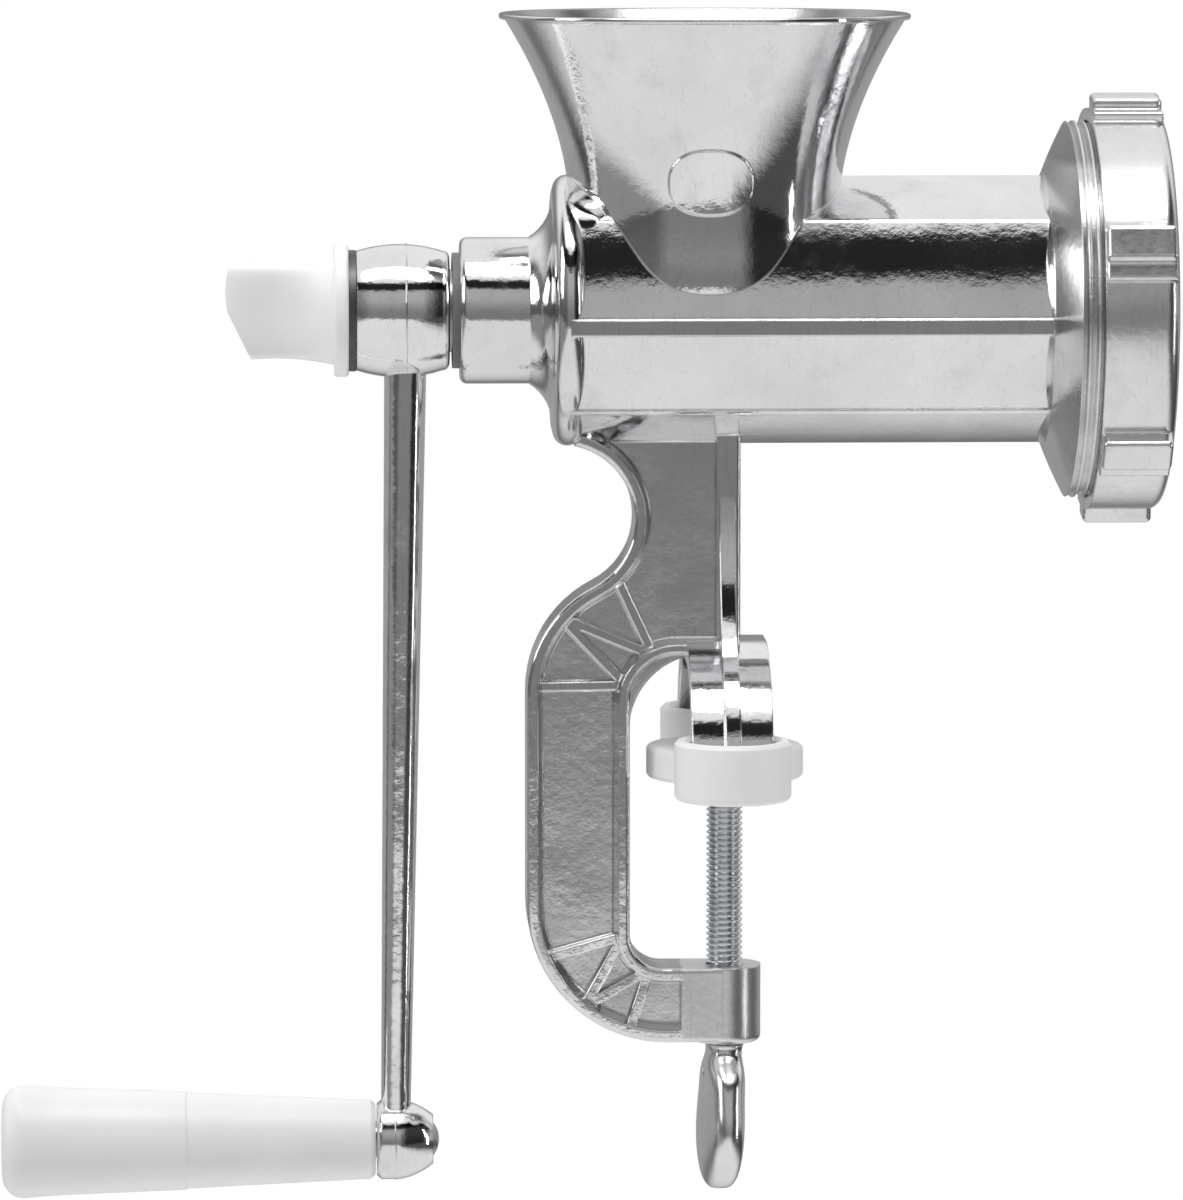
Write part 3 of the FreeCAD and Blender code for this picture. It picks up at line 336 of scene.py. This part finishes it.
def dulled_zones_and_painted_shade(tree, place, color, roughness):
    """The casting's colour and roughness: duller on web, flare and boss and inside the hopper, darker on the
    web, with painted shade inside the hopper.
    """
    web = box_mask(tree, place, web_low, web_high, zone_edge)
    flare = box_mask(tree, place, flare_low, flare_high, flare_edge)
    boss = box_mask(tree, place, boss_low, boss_high, zone_edge)
    inside = hopper_inside(tree, place)
    roughness = rougher(tree, roughness, web, web_roughness)
    roughness = rougher(tree, roughness, flare, flare_roughness)
    roughness = rougher(tree, roughness, boss, boss_roughness)
    roughness = rougher(tree, roughness, inside, inside_roughness)
    color = tinted(tree, color, web, web_share, web_color)
    # Painted shade inside the hopper: its inner faces are tinted dark grey
    color = tinted(tree, color, inside, painted_hopper_shade_share, painted_hopper_shade_color)
    return color, roughness


def polished_casting(name, dulled=0.0, zoned=False):
    """Buffed cast aluminium with stains, smudges, scratches, slow waves, orange peel and eased edges."""
    material, tree, shader = new_material(name, 1.0, casting_base)
    place = object_coordinates(tree)
    stains = noise(tree, place, stain_scale, 4.0, 0.6)
    smudges = remap(tree, noise(tree, place, smudge_scale, 5.0, 0.65), *smudge_band)
    color = mixed_color(tree, remap(tree, stains, *stain_color_band), casting_light, casting_dark)
    color = tinted(tree, color, smudges, smudge_share, smudge_color)
    color = tinted(tree, color, scratches(tree, place), scratch_share, scratch_color)
    roughness = remap(tree, stains, *stain_roughness_band, polish_smooth + dulled, polish_rough + dulled)
    roughness = rougher(tree, roughness, smudges, smudge_roughness)
    if zoned:
        color, roughness = dulled_zones_and_painted_shade(tree, place, color, roughness)
    normal = bump(tree, noise(tree, place, wave_scale, 1.0), wave_height, under=eased_edges(tree))
    normal = bump(tree, noise(tree, place, peel_scale, 2.0), peel_height, under=normal)
    normal = bump(tree, noise(tree, place, grain_scale, 2.0), grain_height, under=normal)
    tree.links.new(color, shader.inputs["Base Color"])
    tree.links.new(roughness, shader.inputs["Roughness"])
    tree.links.new(normal, shader.inputs["Normal"])
    return material


def plain_metal(name, light, dark, smooth, rough, grain, grain_depth, draw=(1.0, 1.0, 1.0)):
    """Plated, ground or as-cast metal with cloudy colour and a fine grain that may be drawn out one way."""
    material, tree, shader = new_material(name, 1.0, light)
    place = object_coordinates(tree)
    clouds = noise(tree, place, metal_cloud_scale, 4.0, 0.6)
    grains = noise(tree, mapped(tree, place, draw), grain, 3.0)
    color = mixed_color(tree, remap(tree, clouds, *cloud_band), light, dark)
    tree.links.new(color, shader.inputs["Base Color"])
    tree.links.new(remap(tree, clouds, *cloud_band, smooth, rough), shader.inputs["Roughness"])
    tree.links.new(bump(tree, grains, grain_depth), shader.inputs["Normal"])
    return material


def moulded_plastic(name, light, dark, roughness, milky):
    """Moulded plastic with faint clouds and a shallow grain."""
    material, tree, shader = new_material(name, 0.0, light)
    place = object_coordinates(tree)
    clouds = noise(tree, place, plastic_cloud_scale, 4.0, 0.55)
    color = mixed_color(tree, remap(tree, clouds, *plastic_color_band), light, dark)
    tree.links.new(color, shader.inputs["Base Color"])
    rough = remap(tree, clouds, *cloud_band, roughness, roughness + plastic_roughness_spread)
    tree.links.new(rough, shader.inputs["Roughness"])
    grains = noise(tree, place, plastic_grain_scale, 2.0)
    tree.links.new(bump(tree, grains, plastic_grain_height), shader.inputs["Normal"])
    shader.inputs["Subsurface Weight"].default_value = milky
    shader.inputs["Subsurface Radius"].default_value = plastic_scatter_radius
    shader.inputs["Subsurface Scale"].default_value = plastic_scatter_scale
    return material


def dress(material, *nodes):
    for node in nodes:
        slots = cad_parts[node].data.materials
        for index in range(len(slots)):
            slots[index] = material


def zinc_steel():
    return plain_metal(
        "zinc_steel",
        light=(0.76, 0.78, 0.80),
        dark=(0.64, 0.66, 0.68),
        smooth=0.24,
        rough=0.38,
        grain=1800.0,
        grain_depth=0.00001,
    )


def tool_steel():
    return plain_metal(
        "tool_steel",
        light=(0.55, 0.55, 0.56),
        dark=(0.44, 0.44, 0.45),
        smooth=0.22,
        rough=0.36,
        grain=900.0,
        grain_depth=0.00002,
        draw=(1.0, 1.0, 0.1),
    )


def dark_steel():
    return plain_metal(
        "dark_steel",
        light=(0.16, 0.16, 0.17),
        dark=(0.08, 0.08, 0.08),
        smooth=0.35,
        rough=0.5,
        grain=1500.0,
        grain_depth=0.00002,
    )


def plain_casting():
    return plain_metal(
        "plain_casting",
        light=(0.70, 0.70, 0.71),
        dark=(0.56, 0.56, 0.57),
        smooth=0.30,
        rough=0.45,
        grain=700.0,
        grain_depth=0.00006,
    )


def dress_metals(crank_finish, zinc_finish):
    dress(polished_casting("polished_casting", zoned=True), "body_casting")
    dress(crank_finish, "crank_arm")
    dress(polished_casting("satin_fittings", dulled=ring_and_wing_dulling), "ring_nut", "clamp_wing")
    dress(plain_casting(), "feed_screw")
    dress(zinc_finish, "clamp_screw", "grip_axle", "grip_washer", "thumb_stud")
    dress(tool_steel(), "knife_stud", "cross_knife", "cutting_plate", "plate_key_pin")
    dress(dark_steel(), "thumb_washer", "wing_pin")


def dress_plastics():
    white = moulded_plastic("white_plastic", (0.88, 0.88, 0.875), (0.84, 0.84, 0.835), 0.34, 0.12)
    knob = moulded_plastic("knob_plastic", (0.95, 0.95, 0.945), (0.91, 0.91, 0.905), 0.34, 0.12)
    cap = moulded_plastic("cap_plastic", (0.95, 0.955, 0.96), (0.91, 0.915, 0.92), 0.42, 0.25)
    nylon = moulded_plastic("grey_nylon", (0.20, 0.20, 0.21), (0.15, 0.15, 0.155), 0.45, 0.02)
    dress(white, "grip")
    dress(knob, "thumb_knob")
    dress(cap, "near_foot_cap", "far_foot_cap", "swivel_pad")
    dress(nylon, "rear_bush", "thrust_washer")


# Pieces made here


def smooth_piece(name, points, faces, material):
    """A mesh object with one material, shaded smooth except at its sharp edges."""
    mesh = bpy.data.meshes.new(name)
    mesh.from_pydata(points, [], faces)
    mesh.materials.append(material)
    mesh.shade_smooth()
    mesh.set_sharp_from_angle(angle=sharp_edge_angle)
    piece = bpy.data.objects.new(name, mesh)
    bpy.context.scene.collection.objects.link(piece)
    return piece


def clamped(value):
    return min(1.0, max(0.0, value))


def thread_radius(z, angle):
    """The screw's radius at a height and an angle: a right-hand V thread that runs out at both ends."""
    phase = (z / screw_pitch - angle / (2 * math.pi)) % 1.0
    ridge = clamped(thread_flank_gain * (1 - abs(2 * phase - 1)) - thread_root_drop)
    run_in = clamped((z - screw_thread_bottom_z) / screw_pitch)
    run_out = clamped((screw_thread_top_z - z) / screw_pitch)
    return screw_radius - screw_thread_depth * (1 - ridge * min(run_in, run_out))


def screw_rings():
    """Heights and plain radii from the screw's foot to its head; a radius of None means the thread."""
    core = screw_radius - screw_thread_depth
    step_height = screw_pitch / thread_steps_per_pitch
    count = int((screw_thread_top_z - screw_thread_bottom_z) / screw_pitch * thread_steps_per_pitch)
    collar_bottom_z = screw_collar_z - screw_collar_height
    rings = [(screw_bottom_z, screw_foot_share * core), (screw_bottom_z + screw_foot_height, core)]
    rings += [(screw_thread_bottom_z + step * step_height, None) for step in range(count + 1)]
    rings += [
        (collar_bottom_z - screw_collar_step, core),
        (collar_bottom_z, screw_radius),
        (screw_collar_z, screw_radius),
        (screw_collar_z, spigot_radius),
        (spigot_head_z, spigot_radius),
        (spigot_head_z, spigot_head_radius),
        (spigot_top_z, spigot_head_radius - spigot_head_taper),
    ]
    return rings


def clamp_screw_piece(material):
    """The clamp screw with a real helical thread."""
    around = screw_segments
    points = []
    for z, radius in screw_rings():
        for index in range(around):
            angle = 2 * math.pi * index / around
            reach = thread_radius(z, angle) if radius is None else radius
            points.append((reach * math.cos(angle), reach * math.sin(angle), z))
    rows = len(points) // around
    faces = []
    for row in range(rows - 1):
        low, high = row * around, (row + 1) * around
        for index in range(around):
            after = (index + 1) % around
            faces.append((low + index, low + after, high + after, high + index))
    faces.append(tuple(reversed(range(around))))
    faces.append(tuple((rows - 1) * around + index for index in range(around)))
    screw = smooth_piece("helical_screw", points, faces, material)
    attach(screw, "screw")
    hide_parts("clamp_screw")


def parting_ridge(name, x, z, radius, material):
    """A low ridge round the crank's hub or boss, in the plane where the mould's halves met."""
    profile = [
        (x - parting_width / 2, radius - parting_depth),
        (x - parting_width / 4, radius + parting_rise),
        (x + parting_width / 4, radius + parting_rise),
        (x + parting_width / 2, radius - parting_depth),
    ]
    corners = len(profile)
    points = []
    faces = []
    for step in range(parting_segments):
        angle = 2 * math.pi * step / parting_segments
        points += [(px, reach * math.cos(angle), z + reach * math.sin(angle)) for px, reach in profile]
        here, there = step * corners, (step + 1) % parting_segments * corners
        for corner in range(corners):
            after = (corner + 1) % corners
            faces.append((here + corner, there + corner, there + after, here + after))
    ridge = smooth_piece(name, points, faces, material)
    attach(ridge, "drive")


# Floor, light and camera


def glowing(tree, surface, factor, level=None):
    """The surface mixed towards a white glow; the glow's strength is level, or 1 where that is None."""
    glow = tree.nodes.new("ShaderNodeEmission")
    blend = tree.nodes.new("ShaderNodeMixShader")
    if level is not None:
        tree.links.new(level, glow.inputs["Strength"])
    tree.links.new(factor, blend.inputs["Fac"])
    tree.links.new(surface, blend.inputs[1])
    tree.links.new(glow.outputs["Emission"], blend.inputs[2])
    return blend.outputs["Shader"]


def banded(tree, level, *bands):
    """The level, multiplied by each pair of a coordinate and the band that it runs through."""
    for value, band in bands:
        level = math_node(tree, "MULTIPLY", level, remap(tree, value, *band, smooth=True))
    return level


def mirrored_floor_level(tree, place):
    """How bright the metal shows the floor: pale in front, dim right and far left, grey far behind."""
    across, away, _ = separate(tree, place)
    level = remap(tree, away, *mirrored_floor_depth, smooth=True)
    level = banded(tree, level, (across, mirrored_floor_right), (across, mirrored_floor_left))
    return math_node(tree, "MAXIMUM", level, remap(tree, away, *mirrored_floor_far, smooth=True))


def studio_floor():
    """A pale floor well under the grinder: it keeps a soft shadow near by and is white farther off."""
    middle_y = floor_size / 2 - floor_front
    bpy.ops.mesh.primitive_plane_add(size=floor_size, location=(0.0, middle_y, floor_height))
    floor = bpy.context.object
    floor.name = "studio_floor"
    material, tree, shader = new_material("floor_paint", 0.0, floor_color)
    shader.inputs["Roughness"].default_value = floor_roughness
    place = tree.nodes.new("ShaderNodeNewGeometry").outputs["Position"]
    rays = tree.nodes.new("ShaderNodeLightPath").outputs
    mirrored = math_node(tree, "MAXIMUM", rays["Is Glossy Ray"], rays["Is Transmission Ray"])
    whitening = remap(tree, vector_length(tree, place), *floor_whitening, smooth=True)
    surface = glowing(tree, shader.outputs["BSDF"], mirrored, mirrored_floor_level(tree, place))
    surface = glowing(tree, surface, math_node(tree, "MULTIPLY", rays["Is Camera Ray"], whitening))
    output = next(node for node in tree.nodes if node.type == "OUTPUT_MATERIAL")
    tree.links.new(surface, output.inputs["Surface"])
    floor.data.materials.append(material)


def surroundings_level(tree, across, away, up):
    """How bright each direction is: white overhead, pale behind, grey round the camera, dark between them."""
    front = remap(tree, up, *front_level, smooth=True)
    front = banded(tree, front, (up, front_top_dimming), (across, front_right_dimming))
    front = banded(tree, front, (across, front_left_dimming))
    behind = banded(tree, remap(tree, away, *behind_level, smooth=True), (up, behind_low_dimming))
    overhead = remap(tree, up, *overhead_level, smooth=True)
    far_right = remap(tree, across, *far_right_level, smooth=True)
    level = front
    for other in (far_right, behind, overhead):
        level = math_node(tree, "MAXIMUM", level, other)
    return level


def studio_world():
    """The surroundings that light the part and show in its metal; the camera itself sees plain white."""
    world = bpy.data.worlds.new("studio")
    world.use_nodes = True
    bpy.context.scene.world = world
    tree = world.node_tree
    tree.nodes.clear()
    output = tree.nodes.new("ShaderNodeOutputWorld")
    background = tree.nodes.new("ShaderNodeBackground")
    background.inputs["Color"].default_value = (1.0, 1.0, 1.0, 1.0)
    direction = tree.nodes.new("ShaderNodeTexCoord").outputs["Generated"]
    level = surroundings_level(tree, *separate(tree, direction))
    seen = tree.nodes.new("ShaderNodeLightPath").outputs["Is Camera Ray"]
    tree.links.new(math_node(tree, "MAXIMUM", level, seen), background.inputs["Strength"])
    tree.links.new(background.outputs["Background"], output.inputs["Surface"])


def turned_towards(place, aim):
    return (Vector(aim) - Vector(place)).to_track_quat("-Z", "Y").to_euler()


def softbox(name, place, size, power):
    light = bpy.data.lights.new(name, "AREA")
    light.shape = "RECTANGLE"
    light.size, light.size_y = size
    light.energy = power
    lamp = bpy.data.objects.new(name, light)
    lamp.location = place
    lamp.rotation_euler = turned_towards(place, lamps_aim)
    bpy.context.scene.collection.objects.link(lamp)


def photograph_camera():
    data = bpy.data.cameras.new("photograph")
    data.sensor_width = sensor_width
    data.lens = focal_pixels / picture_height * sensor_width
    camera = bpy.data.objects.new("photograph", data)
    camera.location = camera_place
    camera.rotation_euler = turned_towards(camera_place, camera_aim)
    bpy.context.scene.collection.objects.link(camera)
    bpy.context.scene.camera = camera


zinc = zinc_steel()
crank = polished_casting("polished_fittings")
dress_metals(crank, zinc)
dress_plastics()
clamp_screw_piece(zinc)
parting_ridge("hub_parting_line", crank_hub_middle_x, axis_height, crank_hub_radius, crank)
parting_ridge("boss_parting_line", crank_boss_middle_x, crank_boss_z, crank_boss_radius, crank)
studio_floor()
studio_world()
softbox("left_softbox", *left_lamp)
softbox("right_softbox", *right_lamp)
softbox("top_softbox", *top_lamp)
photograph_camera()
bpy.context.scene.view_settings.view_transform = "Standard"
